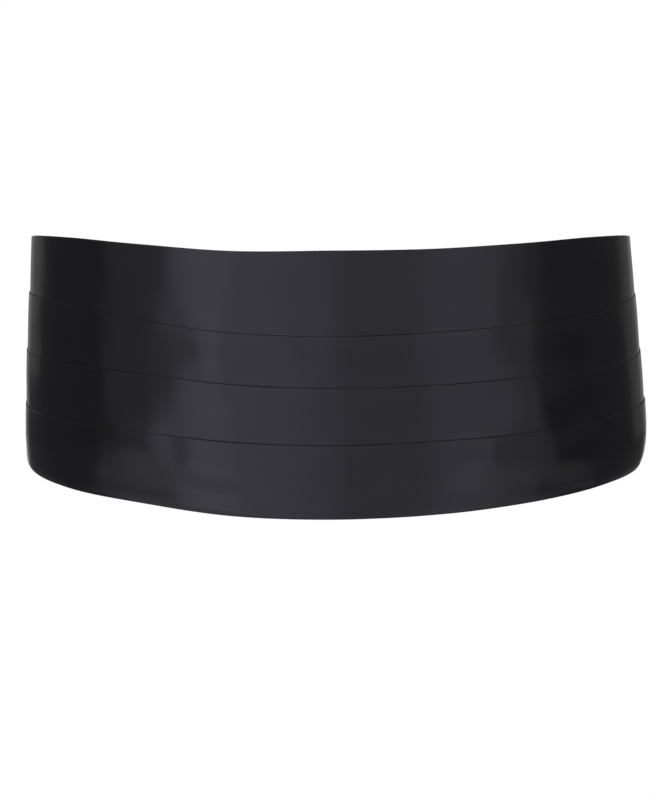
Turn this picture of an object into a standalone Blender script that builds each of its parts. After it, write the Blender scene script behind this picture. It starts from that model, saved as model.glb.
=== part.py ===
"""A satin cummerbund with four upward pleats, fastened round the waist that wears it.

Metres, +Z up. The front faces -Y and the wearer's left is +X. The origin is the middle of the
waist at the panel's mid height. Every piece is laid out the way it is cut: by its distance along
the waist from centre front, its height, and the layer it lies in, counted out from the wearer.
"""
import math

import bmesh
import bpy
import numpy as np
from mathutils import Matrix, Vector

NAME = "cummerbund"

# The waist: an ellipse that widens downwards and leans a little to the wearer's left.
WAIST_HALF_WIDTH = 0.1575
WAIST_HALF_DEPTH = 0.1150
WAIST_FLARE = 0.0085          # gain of both halves from the panel's top edge to its bottom edge
WAIST_LEAN = 0.0033           # shift of the waist's middle towards +X over the same height
FRONT_HEIGHT = 0.1320         # the panel's height at centre front

# Cloth, webbing and metal are one wall thick, and the pieces are laid up in layers.
WALL = 0.0010
SEAM_GAP = 0.0003
LAYER = WALL + SEAM_GAP
FACET = 0.0125                # spacing of the facets along the waist, the same in every layer

# The pleated front, in millimetres: distance along the waist from centre front, then the heights
# of its top edge, its three pleat folds and its bottom edge above mid height.
PANEL_COLUMNS = ("girth", "top", "fold_1", "fold_2", "fold_3", "bottom")
PANEL_ROWS = (
    (-300, 31.0, 14.5, -1.0, -17.0, -35.0),
    (-250, 48.5, 24.5, -1.5, -27.0, -52.0),
    (-200, 59.3, 29.5, -0.5, -29.0, -60.5),
    (-150, 64.8, 31.5, 1.0, -27.5, -62.5),
    (-100, 65.8, 28.2, 1.7, -27.2, -63.5),
    (-50, 65.0, 25.0, -0.4, -28.9, -66.0),
    (0, 66.0, 24.1, -1.4, -29.5, -66.2),
    (50, 66.0, 25.1, -0.8, -28.4, -65.0),
    (100, 66.2, 26.1, -0.2, -27.8, -63.0),
    (150, 65.0, 27.0, -1.0, -26.5, -61.0),
    (200, 59.4, 28.0, -1.5, -27.0, -59.5),
    (250, 48.5, 24.0, -1.5, -26.0, -51.0),
    (300, 31.0, 14.5, -1.0, -16.5, -34.5),
)
PANEL_LINES = PANEL_COLUMNS[1:]
PANEL_END = 0.300             # the panel's cut end, either side of centre front
FOLD_DEPTH = 0.28             # how far each fold stands over the band above, as a share of its band

# How a band lies between its own fold and the next one: share of the way down, share of a layer.
BAND_PROFILE = ((0.0, 1.0), (0.30, 1.0), (0.50, 0.66), (0.70, 0.30), (0.92, 0.0))

# How the bottom edge curls in under the last band, by distance along the waist: how far, in
# millimetres, and how late in the band it starts, as a power of the share of its height.
CURL_COLUMNS = ("girth", "turn_in", "power")
CURL_ROWS = (
    (-262, 0.0, 4.0),
    (-215, 0.8, 5.0),
    (-190, 1.6, 4.0),
    (-150, 2.0, 2.6),
    (-100, 2.4, 2.3),
    (-50, 1.5, 2.3),
    (0, 1.0, 2.3),
    (60, 1.2, 2.3),
    (110, 2.2, 2.3),
    (160, 2.8, 3.2),
    (205, 3.6, 5.0),
    (240, 1.6, 5.0),
    (262, 0.0, 4.0),
)
CURL_START = 0.35             # the share of the last band that still lies over the one above

# The ends of the panel are bound, and the straps are sewn over the bindings.
BINDING_START = 0.275
BINDING_REACH = 0.0012        # how far the binding's fold stands past the panel's cut end
BINDING_SOFTEN = 0.0007
BINDING_ROWS = 5
STRAP_START = 0.279
STRAP_WIDTH = 0.025

# Where a strap starts and ends a step from one layer to another, measured along the waist.
STEP_OFF_BINDING = (0.0020, 0.0100)    # past the panel's end
STEP_OVER_SLIDE = (0.0060, 0.0033)     # from the slide's middle bar
STEP_AT_HOOK = (0.0090, 0.0020)        # from the bar the strap turns round
STEP_AT_EYE = (0.0090, 0.0020)
TAIL_STEP = (0.0045, 0.0015)           # where the tail rises to the slide's middle bar
TAIL_PAST_BAR = 0.0024
EYE_STRAP_TAIL = 0.0300
BAR_TURN_SOFTEN = 0.0004

# Metal: bars across the strap and windows between them.
BAR = 0.0020
WINDOW_HEIGHT = 0.0262
PLATE_HEIGHT = 0.0310
CORNER = 0.0022
SLIDE_AT = 0.3375             # the slide's middle bar
SLIDE_PITCH = 0.0080          # middle bar to each outer bar
EYE_STRAP_BAR = -0.3875
EYE_PITCH = 0.0085            # the eye's strap bar to its hook bar
HOOK_REACH = 0.0063           # the hook's plate to the eye's hook bar
HOOK_PLATE = 0.0120
HOOK_WINDOW = 0.0036
TONGUE_WIDTH = 0.0120
TONGUE_RETURN = 0.0045
TONGUE_ROOT = 0.0025          # how far the tongue runs into the hook's plate
CORNER_STEPS = 4

COLOURS = {
    "black_satin": ((0.012, 0.012, 0.014), 0.34, 0.0),
    "satin_binding": ((0.012, 0.012, 0.014), 0.38, 0.0),
    "elastic_webbing": ((0.022, 0.022, 0.024), 0.80, 0.0),
    "black_nickel": ((0.100, 0.098, 0.104), 0.30, 1.0),
}

# Distance along the waist, from centre front, against the angle round its ellipse.
WAIST_ANGLES = np.linspace(-1.5 * math.pi, 1.5 * math.pi, 5401)
WAIST_STEPS = np.hypot(
    np.diff(WAIST_HALF_WIDTH * np.sin(WAIST_ANGLES)),
    np.diff(WAIST_HALF_DEPTH * np.cos(WAIST_ANGLES)),
)
WAIST_LENGTHS = np.concatenate(([0.0], np.cumsum(WAIST_STEPS)))
WAIST_LENGTHS -= WAIST_LENGTHS[len(WAIST_LENGTHS) // 2]
GIRTH = 2.0 * float(np.interp(math.pi, WAIST_ANGLES, WAIST_LENGTHS))


def clear_scene():
    for item in list(bpy.data.objects):
        bpy.data.objects.remove(item, do_unlink=True)


def layer(number):
    """Distance from the waist to the middle of a wall in the numbered layer."""
    return WALL / 2.0 + number * LAYER


def waist_frame(girth, height):
    """A point on the waist, the way along it and the way out of it."""
    angle = float(np.interp(girth, WAIST_LENGTHS, WAIST_ANGLES))
    widening = -height / FRONT_HEIGHT
    half_width = WAIST_HALF_WIDTH + WAIST_FLARE * widening
    half_depth = WAIST_HALF_DEPTH + WAIST_FLARE * widening
    middle = WAIST_LEAN * widening
    point = Vector((
        middle + half_width * math.sin(angle),
        -half_depth * math.cos(angle),
        height,
    ))
    onward = Vector((half_width * math.cos(angle), half_depth * math.sin(angle), 0.0)).normalized()
    outward = Vector((onward.y, -onward.x, 0.0))
    return point, onward, outward


def on_waist(girth, height, out):
    point, _, outward = waist_frame(girth, height)
    return point + out * outward


def line_height(name, girth):
    """Height of one of the panel's lines, on a smooth curve through the panel's rows."""
    rows = np.array(PANEL_ROWS) / 1000.0
    stations = rows[:, 0]
    heights = rows[:, PANEL_COLUMNS.index(name)]
    slopes = np.gradient(heights, stations)
    here = min(max(girth, stations[0]), stations[-1])
    row = min(int(np.searchsorted(stations, here, side="right")) - 1, len(stations) - 2)
    span = stations[row + 1] - stations[row]
    t = (here - stations[row]) / span
    rise = heights[row + 1] - heights[row]
    start_slope = slopes[row] * span
    end_slope = slopes[row + 1] * span
    bend = t * t * (3.0 - 2.0 * t)
    return (heights[row] + rise * bend + start_slope * t * (1.0 - t) ** 2
            - end_slope * t * t * (1.0 - t))


def curl(girth, share):
    """How far the last band has curled in, by the share of its height below its own fold."""
    if share < CURL_START:
        return 0.0
    stations, depths, powers = np.array(CURL_ROWS).T
    depth = np.interp(girth, stations / 1000.0, depths / 1000.0)
    power = np.interp(girth, stations / 1000.0, powers)
    return float(depth * share ** power)


def make_material(name):
    colour, roughness, metallic = COLOURS[name]
    material = bpy.data.materials.new(name)
    material.use_nodes = True
    shader = material.node_tree.nodes["Principled BSDF"]
    shader.inputs["Base Color"].default_value = (*colour, 1.0)
    shader.inputs["Roughness"].default_value = roughness
    shader.inputs["Metallic"].default_value = metallic
    return material


def add_sheet(name, columns, rows, place, material, collection):
    """An open grid whose points are set by place(column, row), thickened to one wall."""
    mesh = bpy.data.meshes.new(name)
    grid = bmesh.new()
    bmesh.ops.create_grid(grid, x_segments=columns, y_segments=rows, size=1.0)
    for point in grid.verts:
        column = round((point.co.x + 1.0) / 2.0 * columns)
        row = round((point.co.y + 1.0) / 2.0 * rows)
        point.co = place(column, row)
    grid.to_mesh(mesh)
    grid.free()
    mesh.materials.append(material)
    mesh.shade_smooth()
    sheet = bpy.data.objects.new(name, mesh)
    collection.objects.link(sheet)
    wall = sheet.modifiers.new("wall", "SOLIDIFY")
    wall.thickness = WALL
    wall.offset = 0.0
    wall.use_even_offset = True
    return sheet


def band_points(number, girth):
    """Heights and distances out of one band's middle, from its fold or top edge down."""
    upper = line_height(PANEL_LINES[number], girth)
    lower = line_height(PANEL_LINES[number + 1], girth)
    lift = LAYER if number > 0 else 0.0
    is_last = number == len(PANEL_LINES) - 2
    profile = (*BAND_PROFILE, (1.0, 0.0)) if is_last else BAND_PROFILE
    points = []
    for share, raised in profile:
        out = layer(0) + lift * raised
        if is_last:
            out -= curl(girth, share)
        points.append((upper + share * (lower - upper), out))
    if not is_last:
        next_lower = line_height(PANEL_LINES[number + 2], girth)
        points.append((lower - FOLD_DEPTH * (lower - next_lower), layer(0)))
    return points


def add_band(number, material, collection):
    """One stretch of the pleated front, from its fold down to where it passes behind the next."""
    columns = round(2.0 * PANEL_END / FACET)
    sections = []
    for column in range(columns + 1):
        girth = -PANEL_END + column * FACET
        sections.append([on_waist(girth, height, out) for height, out in band_points(number, girth)])
    rows = len(sections[0]) - 1

    def place(column, row):
        return sections[column][rows - row]

    return add_sheet(f"pleat_band_{number + 1}", columns, rows, place, material, collection)


def with_facets(path):
    """The path's points, with one more at every facet line that it crosses."""
    points = [path[0]]
    for (start, start_out), (end, end_out) in zip(path, path[1:]):
        first = math.floor(min(start, end) / FACET) + 1
        last = math.ceil(max(start, end) / FACET) - 1
        stations = [number * FACET for number in range(first, last + 1)]
        if end < start:
            stations.reverse()
        for station in stations:
            share = (station - start) / (end - start)
            if 0.05 < share < 0.95:
                points.append((station, start_out + share * (end_out - start_out)))
        points.append((end, end_out))
    return points


def turn_round_bar(bar, number, side):
    """A strap's half turn round a bar in the numbered layer, from its outer side to its inner one.

    side is +1 where the turn lies further along the waist than the bar, and -1 where it lies before.
    """
    reach = BAR / 2.0 + SEAM_GAP + WALL / 2.0
    soften = BAR_TURN_SOFTEN
    corner = reach - 2.0 * soften
    outer = layer(number + 1)
    inner = layer(number - 1)
    return [
        (bar + side * corner, outer),
        (bar + side * (reach - 0.5 * soften), outer - soften),
        (bar + side * reach, outer - 2.0 * soften),
        (bar + side * reach, inner + 2.0 * soften),
        (bar + side * (reach - 0.5 * soften), inner + soften),
        (bar + side * corner, inner),
    ]


def add_ribbon(name, path, width, material, collection):
    """A strap standing on edge round the waist: its path is in distance along it and out of it."""
    points = with_facets(path)
    along_waist = points[-1][0] > points[0][0]

    def place(column, row):
        girth, out = points[column if along_waist else len(points) - 1 - column]
        return on_waist(girth, (row - 0.5) * width, out)

    return add_sheet(name, len(points) - 1, 1, place, material, collection)


def add_binding(name, side, material, collection):
    """Satin folded round one cut end of the panel, over all its layers."""
    outer = layer(2)
    inner = layer(-1)
    end = PANEL_END + BINDING_REACH
    soften = BINDING_SOFTEN
    path = [
        (BINDING_START, outer),
        (PANEL_END, outer),
        (end - 0.3 * soften, outer - 0.5 * soften),
        (end, outer - 2.0 * soften),
        (end, inner + 2.0 * soften),
        (end - 0.3 * soften, inner + 0.5 * soften),
        (PANEL_END, inner),
        (BINDING_START, inner),
    ]
    points = [(side * girth, out) for girth, out in with_facets(path)]
    if side < 0:
        points.reverse()

    def place(column, row):
        girth, out = points[column]
        top = line_height("top", girth)
        bottom = line_height("bottom", girth)
        return on_waist(girth, bottom + (top - bottom) * row / BINDING_ROWS, out)

    return add_sheet(name, len(points) - 1, BINDING_ROWS, place, material, collection)


def rounded_rectangle(left, right, half_height, radius):
    """Corner arcs of a rectangle, anticlockwise."""
    centres = (
        (right - radius, half_height - radius, 0.0),
        (left + radius, half_height - radius, 0.5 * math.pi),
        (left + radius, radius - half_height, math.pi),
        (right - radius, radius - half_height, 1.5 * math.pi),
    )
    points = []
    for x, y, start in centres:
        for step in range(CORNER_STEPS + 1):
            angle = start + 0.5 * math.pi * step / CORNER_STEPS
            points.append((x + radius * math.cos(angle), y + radius * math.sin(angle)))
    return points


def add_plate(name, girth, number, outline, windows, material, collection):
    """A flat stamped piece with windows, tangent to the waist in the numbered layer."""
    curve = bpy.data.curves.new(name, "CURVE")
    curve.dimensions = "2D"
    curve.fill_mode = "BOTH"
    curve.extrude = WALL / 2.0
    for points in (outline, *windows):
        spline = curve.splines.new("POLY")
        spline.points.add(len(points) - 1)
        for spline_point, (x, y) in zip(spline.points, points):
            spline_point.co = (x, y, 0.0, 1.0)
        spline.use_cyclic_u = True
    curve.materials.append(material)
    plate = bpy.data.objects.new(name, curve)
    point, onward, outward = waist_frame(girth, 0.0)
    centre = point + layer(number) * outward
    top = on_waist(girth, PLATE_HEIGHT / 2.0, layer(number))
    upward = (top - centre).normalized()
    axes = Matrix((onward, upward, onward.cross(upward))).transposed()
    plate.matrix_world = Matrix.Translation(centre) @ axes.to_4x4()
    collection.objects.link(plate)
    return plate


def add_slide(material, collection):
    """Three bars and two windows: the strap runs behind the outer bars and over the middle one."""
    reach = SLIDE_PITCH + BAR / 2.0
    outline = rounded_rectangle(-reach, reach, PLATE_HEIGHT / 2.0, CORNER)
    inner = BAR / 2.0
    outer = SLIDE_PITCH - BAR / 2.0
    windows = [
        rounded_rectangle(-outer, -inner, WINDOW_HEIGHT / 2.0, CORNER / 4.0),
        rounded_rectangle(inner, outer, WINDOW_HEIGHT / 2.0, CORNER / 4.0),
    ]
    return add_plate("slide", SLIDE_AT, 2, outline, windows, material, collection)


def add_eye(material, collection):
    """A ring with two bars: one for its strap and one for the hook."""
    middle = EYE_STRAP_BAR - EYE_PITCH / 2.0
    reach = EYE_PITCH / 2.0 + BAR / 2.0
    inner = EYE_PITCH / 2.0 - BAR / 2.0
    outline = rounded_rectangle(-reach, reach, PLATE_HEIGHT / 2.0, CORNER)
    window = rounded_rectangle(-inner, inner, WINDOW_HEIGHT / 2.0, CORNER / 4.0)
    return add_plate("clasp_eye", middle, 1, outline, [window], material, collection)


def as_mesh_object(source, collection):
    """A curve object's evaluated shape as a mesh object in the same place."""
    evaluated = source.evaluated_get(bpy.context.evaluated_depsgraph_get())
    mesh = bpy.data.meshes.new_from_object(evaluated)
    shape = bmesh.new()
    shape.from_mesh(mesh)
    bmesh.ops.remove_doubles(shape, verts=shape.verts, dist=0.00001)
    shape.to_mesh(mesh)
    shape.free()
    name = source.name
    place = source.matrix_world.copy()
    bpy.data.objects.remove(source, do_unlink=True)
    piece = bpy.data.objects.new(name, mesh)
    piece.matrix_world = place
    collection.objects.link(piece)
    return piece


def add_hook(material, collection, cutters):
    """A plate with a window for its strap, and a tongue that folds round the eye's bar."""
    eye_bar = GIRTH + EYE_STRAP_BAR - EYE_PITCH
    plate_end = eye_bar - HOOK_REACH
    middle = plate_end - HOOK_PLATE / 2.0
    half = HOOK_PLATE / 2.0
    outline = rounded_rectangle(-half, half, PLATE_HEIGHT / 2.0, CORNER)
    window = rounded_rectangle(-half + BAR, -half + BAR + HOOK_WINDOW, WINDOW_HEIGHT / 2.0,
                               CORNER / 4.0)
    flat = add_plate("clasp_hook", middle, 2, outline, [window], material, collection)
    bpy.context.view_layer.update()
    plate = as_mesh_object(flat, collection)

    path = [(plate_end - TONGUE_ROOT, layer(2))]
    path += turn_round_bar(eye_bar, 1, 1)
    path.append((eye_bar - TONGUE_RETURN, layer(0)))
    tongue = add_ribbon("tongue", path, TONGUE_WIDTH, material, cutters)
    tongue.hide_render = True
    tongue.display_type = "WIRE"
    join = plate.modifiers.new("tongue", "BOOLEAN")
    join.operation = "UNION"
    join.object = tongue
    return plate


def hook_strap_path():
    """From the +X binding, through the slide, round the hook's bar and back to the slide."""
    eye_bar = GIRTH + EYE_STRAP_BAR - EYE_PITCH
    hook_bar = eye_bar - HOOK_REACH - HOOK_PLATE + BAR / 2.0
    foot, top = STEP_OVER_SLIDE
    far, near = STEP_AT_HOOK
    loop = turn_round_bar(SLIDE_AT, 2, -1)
    loop.reverse()
    path = [
        (STRAP_START, layer(3)),
        (PANEL_END + STEP_OFF_BINDING[0], layer(3)),
        (PANEL_END + STEP_OFF_BINDING[1], layer(1)),
        (SLIDE_AT - foot, layer(1)),
        (SLIDE_AT - top, layer(4)),
        (SLIDE_AT + top, layer(4)),
        (SLIDE_AT + foot, layer(1)),
        (hook_bar - far, layer(1)),
        (hook_bar - near, layer(3)),
    ]
    path += turn_round_bar(hook_bar, 2, 1)
    path += [
        (hook_bar - near, layer(1)),
        (hook_bar - far, layer(0)),
        (SLIDE_AT + TAIL_STEP[0], layer(0)),
        (SLIDE_AT + TAIL_STEP[1], layer(1)),
    ]
    path += loop
    path.append((SLIDE_AT + TAIL_PAST_BAR, layer(3)))
    return path


def eye_strap_path():
    """From the -X binding to the eye's bar, round it and back to a short sewn end."""
    far, near = STEP_AT_EYE
    path = [
        (-STRAP_START, layer(3)),
        (-PANEL_END - STEP_OFF_BINDING[0], layer(3)),
        (-PANEL_END - STEP_OFF_BINDING[1], layer(1)),
        (EYE_STRAP_BAR + far, layer(1)),
        (EYE_STRAP_BAR + near, layer(2)),
    ]
    path += turn_round_bar(EYE_STRAP_BAR, 1, -1)
    path.append((EYE_STRAP_BAR + EYE_STRAP_TAIL, layer(0)))
    return path


def main():
    clear_scene()
    collection = bpy.data.collections.new(NAME)
    cutters = bpy.data.collections.new("cutters")
    bpy.context.scene.collection.children.link(collection)
    bpy.context.scene.collection.children.link(cutters)
    materials = {name: make_material(name) for name in COLOURS}

    for number in range(len(PANEL_LINES) - 1):
        add_band(number, materials["black_satin"], collection)
    add_binding("end_binding_left", 1, materials["satin_binding"], collection)
    add_binding("end_binding_right", -1, materials["satin_binding"], collection)
    add_ribbon("hook_strap", hook_strap_path(), STRAP_WIDTH, materials["elastic_webbing"], collection)
    add_ribbon("eye_strap", eye_strap_path(), STRAP_WIDTH, materials["elastic_webbing"], collection)
    add_slide(materials["black_nickel"], collection)
    add_eye(materials["black_nickel"], collection)
    add_hook(materials["black_nickel"], collection, cutters)


main()
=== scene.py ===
"""Looks of a black satin cummerbund: its pleated front, bound ends, elastic straps and clasp.

Metres, +Z up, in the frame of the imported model. The front faces -Y and the wearer's left is +X.
Every piece is laid out the way it is cut: by its distance along the waist from centre front, its
height, and how far out it lies from the wearer.
"""
import math

import bmesh
import bpy
import numpy as np
from mathutils import Matrix, Vector, noise


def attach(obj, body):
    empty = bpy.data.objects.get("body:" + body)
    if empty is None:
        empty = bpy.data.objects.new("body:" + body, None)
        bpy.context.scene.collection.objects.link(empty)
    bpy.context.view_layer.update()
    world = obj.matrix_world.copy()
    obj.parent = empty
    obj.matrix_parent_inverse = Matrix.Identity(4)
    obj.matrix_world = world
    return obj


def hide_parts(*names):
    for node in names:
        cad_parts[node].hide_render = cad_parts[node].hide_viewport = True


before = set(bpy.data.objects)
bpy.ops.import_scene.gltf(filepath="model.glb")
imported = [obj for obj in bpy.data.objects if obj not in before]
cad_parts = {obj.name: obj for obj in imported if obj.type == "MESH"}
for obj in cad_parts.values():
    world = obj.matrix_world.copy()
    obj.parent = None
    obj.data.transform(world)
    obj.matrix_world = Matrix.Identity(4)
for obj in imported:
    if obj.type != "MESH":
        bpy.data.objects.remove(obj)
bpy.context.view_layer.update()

BODY = "root"
MM = 0.001

# The waist that the cloth is closed round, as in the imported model.
WAIST_HALF_WIDTH = 0.1575
WAIST_HALF_DEPTH = 0.1150
WAIST_FLARE = 0.0085          # gain of both halves from the panel's top edge to its bottom edge
WAIST_LEAN = 0.0033           # shift of the waist's middle towards +X over the same height
FRONT_HEIGHT = 0.1320         # the panel's height at centre front

# The pleated front, in millimetres: distance along the waist from centre front, then the heights
# of its top edge, its three pleat folds and its bottom edge above mid height.
PANEL_COLUMNS = ("girth", "top", "fold_1", "fold_2", "fold_3", "bottom")
PANEL_ROWS = (
    (-300, 31.0, 14.5, -1.0, -17.0, -35.0),
    (-250, 48.5, 24.5, -1.5, -27.0, -52.0),
    (-200, 59.3, 29.5, -0.5, -29.0, -60.5),
    (-150, 64.8, 31.5, 1.0, -27.5, -62.5),
    (-100, 65.8, 28.2, 1.7, -27.2, -63.5),
    (-50, 65.0, 25.0, -0.4, -28.9, -66.0),
    (0, 66.0, 24.1, -1.4, -29.5, -66.2),
    (50, 66.0, 25.1, -0.8, -28.4, -65.0),
    (100, 66.2, 26.1, -0.2, -27.8, -63.0),
    (150, 65.0, 27.0, -1.0, -26.5, -61.0),
    (200, 59.4, 28.0, -1.5, -27.0, -59.5),
    (250, 48.5, 24.0, -1.5, -26.0, -51.0),
    (300, 31.0, 14.5, -1.0, -16.5, -34.5),
)
PANEL_LINES = PANEL_COLUMNS[1:]
BANDS = len(PANEL_LINES) - 1
PANEL_END = 0.300             # the panel's cut end, either side of centre front
FOLD_DEPTH = 0.28             # how far each fold stands over the band above, as a share of its band

# Satin and how its layers lie, by the middle of the cloth, out from the wearer.
SATIN = 0.00016
UNDER_OUT = 0.00060           # cloth lying on the wearer
RETURN_OUT = 0.00085          # the turned-up layer inside a pleat
FOLD_OUT = 0.00125            # the pleat's own face at its fold, in the middle of the front
RETURN_PRESSED = 0.00008      # how much flatter both lie where the pleat is pressed
FOLD_PRESSED = 0.00031
EDGE_OUT = 0.00084            # the face at the top and bottom edges, over their hems
HEM_OUT = 0.00016             # the hem turned in behind an edge
HEM_DEPTH = 0.0085
HEM_CLEARANCE = 0.0002        # from the turn at an edge to where its hem lies flat

# Where the cloth changes down a band, as shares of the band's height, and inside a pleat, as
# shares of its depth.
FACE_SPAN = (0.03, 1.0)       # how much of a band is drawn between one turn and the next
LAST_FACE_END = 0.985         # the last band ends sooner, above the turn at the bottom edge
FACE_SETTLES = (0.18, 0.80)   # from standing at its fold to lying on the wearer
FACE_OVER_HEM = (0.74, 0.95)  # where the last band lifts over its hem
INSIDE_SPAN = (0.15, 0.95)

# How finely the front is drawn: rows down each stretch, and columns along the waist.
FACE_ROWS = 14
INSIDE_ROWS = 4
EDGE_ROWS = 9
INNER_TURN_ROWS = 6
FRONT_COLUMNS = 240

# How far each pleat is pressed flat, by distance along the waist in millimetres: 1 is quite flat,
# and below 0 its fold gapes a little.
PRESSED_COLUMNS = ("girth", "fold_1", "fold_2", "fold_3")
PRESSED_ROWS = (
    (-300, 0.2, 0.2, 0.3),
    (-230, 0.4, 0.6, 0.7),
    (-195, 0.1, 0.9, 1.0),
    (-178, 0.4, 1.0, 1.0),
    (-166, 1.0, 1.0, 1.0),
    (-130, 1.0, 1.0, 1.0),
    (-118, 0.5, 0.3, 1.0),
    (-98, 0.1, 0.1, 0.8),
    (-80, 0.0, 0.0, 0.0),
    (-70, 0.0, 0.0, -1.2),
    (-50, 0.0, -0.3, -1.2),
    (-37, 0.0, -1.4, -0.9),
    (-26, 0.0, 0.1, 0.0),
    (-17, 0.1, 0.4, 0.1),
    (-11, 0.8, 0.4, -0.1),
    (4, 0.9, 0.4, -0.1),
    (12, 0.5, 0.6, 0.2),
    (19, 0.0, 1.0, 0.0),
    (24, 0.0, 1.0, 0.3),
    (29, -0.1, 0.2, 1.0),
    (35, 0.0, 0.3, 0.9),
    (41, 0.1, 0.0, 0.1),
    (48, 0.7, 0.0, 0.0),
    (53, 0.7, 0.2, -0.1),
    (59, 0.1, 0.0, 0.2),
    (68, 0.0, -0.2, -0.1),
    (78, 0.2, 0.0, -1.3),
    (86, 0.9, 0.3, 0.2),
    (100, 1.0, 0.9, 0.8),
    (108, 1.0, 1.0, 1.0),
    (182, 1.0, 1.0, 1.0),
    (194, 0.9, 0.9, 0.1),
    (230, 0.5, 0.5, 0.4),
    (300, 0.3, 0.2, 0.2),
)

# How the worn cloth stands off an even form: soft ridges, and troughs where the rise is below 0.
# All in millimetres but the lean, which is in degrees from upright.
RIDGE_COLUMNS = ("girth", "height", "half_width", "half_length", "rise", "lean")
RIDGES = (                    # on the front, where its sheen bends
    (-104, 34, 13, 11, 0.25, 10),
    (-60, 14, 14, 16, 1.00, 4),
    (-52, -14, 14, 16, 0.25, -6),
    (-102, -18, 14, 9, 0.40, 0),
    (-101, -33, 15, 10, 1.10, 14),
    (-56, -45, 12, 10, 0.30, 0),
    (106, 44, 15, 22, -0.45, 18),
    (106, -15, 16, 11, 1.00, 8),
    (119, -42, 17, 12, 0.85, -12),
    (68, -36, 12, 8, 0.40, 0),
    (30, 46, 20, 24, 0.25, -8),
    (22, -44, 22, 16, -0.20, 10),
    # down both sides
    (-200, -10, 22, 40, 1.00, 0),
    (-190, 36, 16, 16, -0.20, 8),
    (205, -22, 24, 45, 1.30, 0),
    # narrow creases near the sides
    (-199, -14, 2.4, 24, 0.08, 2),
    (-192, 6, 2.0, 20, 0.05, -2),
    (-184, -22, 2.6, 26, -0.06, 1),
    (-174, 2, 2.4, 18, 0.05, -3),
    (199, -44, 2.2, 12, 0.08, -24),
    (192, -40, 2.4, 14, 0.06, -20),
    (187, 8, 2.6, 26, 0.05, -3),
    # towards the bound ends
    (-255, 0, 14, 30, -0.40, 12),
    (252, 6, 15, 28, -0.45, -10),
    (-232, -26, 12, 14, 0.35, 20),
    (228, 30, 12, 16, 0.35, -16),
)
WAVER = 0.00020               # how far the cloth wavers in and out between those ridges
WAVER_SIZE = (0.018, 0.030)   # about how wide and high each waver is
WAVER_SEED = 3.0

# How the bottom edge curls in under the last band, by distance along the waist: how far, in
# millimetres, and how late in the band it starts, as a power of the share of its height.
CURL_COLUMNS = ("girth", "turn_in", "power")
CURL_ROWS = (
    (-262, 0.0, 4.0),
    (-215, 0.8, 5.0),
    (-190, 1.6, 4.0),
    (-150, 2.0, 2.6),
    (-100, 2.4, 2.3),
    (-50, 1.5, 2.3),
    (0, 1.0, 2.3),
    (60, 1.2, 2.3),
    (110, 2.2, 2.3),
    (160, 2.8, 3.2),
    (205, 3.6, 5.0),
    (240, 1.6, 5.0),
    (262, 0.0, 4.0),
)
BELLY = 0.00015               # how far each band rounds out above the next fold, at the sides
BELLY_START = 0.160           # along the waist
BELLY_FULL = 0.200
BELLY_TOP = 0.2885            # down the band, as shares of its height
BELLY_FOOT = 0.9808

# The bindings: satin folded round the front's cut ends, by the middle of the cloth.
BINDING_START = 0.275         # its long edges, along the waist
BINDING_END = 0.3012          # its fold past the front's cut end
BINDING_TURN = 0.0060         # cloth turned under along each long edge
BINDING_OUT = 0.00250         # over the pleats, with what is turned under there
BINDING_UNDER_OUT = 0.00204
BINDING_IN = -0.00066         # the same two behind the front
BINDING_UNDER_IN = -0.00022
BINDING_BACK = BINDING_IN - SATIN / 2.0
BINDING_CORNER = 0.0009       # radius of the two corners round the front's cut end
BINDING_FLAT_FROM = 0.0010    # from the middle of a turn to the flat cloth beside it
BINDING_UNDER_FROM = 0.0003   # the same for the cloth turned under
BINDING_PAST_EDGE = 0.0005    # how far a binding reaches past the front's top and bottom edges
BINDING_PINCH = (-0.00099, 0.0022)      # where a binding closes up, from each of its own ends
PUCKER = 0.00010              # how far a binding puckers beside its stitches
PUCKER_WAVE = 0.0028          # length of a pucker, divided by two pi
PUCKER_FROM_EDGE = 0.0015     # where it's deepest, from the binding's edge on the front
PUCKER_REACH = 0.0030         # how far it fades, to each side of that
PLEAT_LIFT = 0.00022          # how much a layer on top of the pleats lifts below each fold
PLEAT_LIFT_COMES = (-0.00066, 0.00055)  # where that comes and goes, measured down from the fold
PLEAT_LIFT_GOES = (0.0011, 0.0088)

# How finely a binding is drawn: rows from its top to its bottom, and points round its section.
BINDING_ROWS = 44
BINDING_FLAT_POINTS = 14
BINDING_UNDER_POINTS = 4
BINDING_TURN_POINTS = 8
BINDING_CORNER_POINTS = 6

# The thread. A stitch is drawn through rings, each with its place as a share of the stitch, and
# with its size and the height of its middle over the cloth as shares of the thread's radius.
THREAD = 0.00017              # radius of the thread
THREAD_SIDES = 6
STITCH_RINGS = ((0.00, 0.25, -0.9), (0.10, 0.80, 0.1), (0.30, 1.0, 0.7), (0.70, 1.0, 0.7),
                (0.90, 0.80, 0.1), (1.00, 0.25, -0.9))
EDGE_STITCH = (0.0021, 0.0006)         # length and gap of the stitches that close a binding
EDGE_STITCH_IN = 0.0022                # from the binding's edges to their line
STRAP_STITCH = (0.0019, 0.0004)        # length and gap of the stitches that hold a strap down
BOX_FROM_STRAP_START = 0.0020          # the box they are sewn in, from what is round it
BOX_FROM_PANEL_END = 0.0015
BOX_FROM_STRAP_EDGE = 0.0025
ZIGZAG_REACH = 0.0011                  # the eye strap's tack, to each side of its middle line
ZIGZAG_PITCH = 0.0008
ZIGZAG_FROM_STRAP_EDGE = 0.0013
TACK_FROM_BAR = 0.0280

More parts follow.
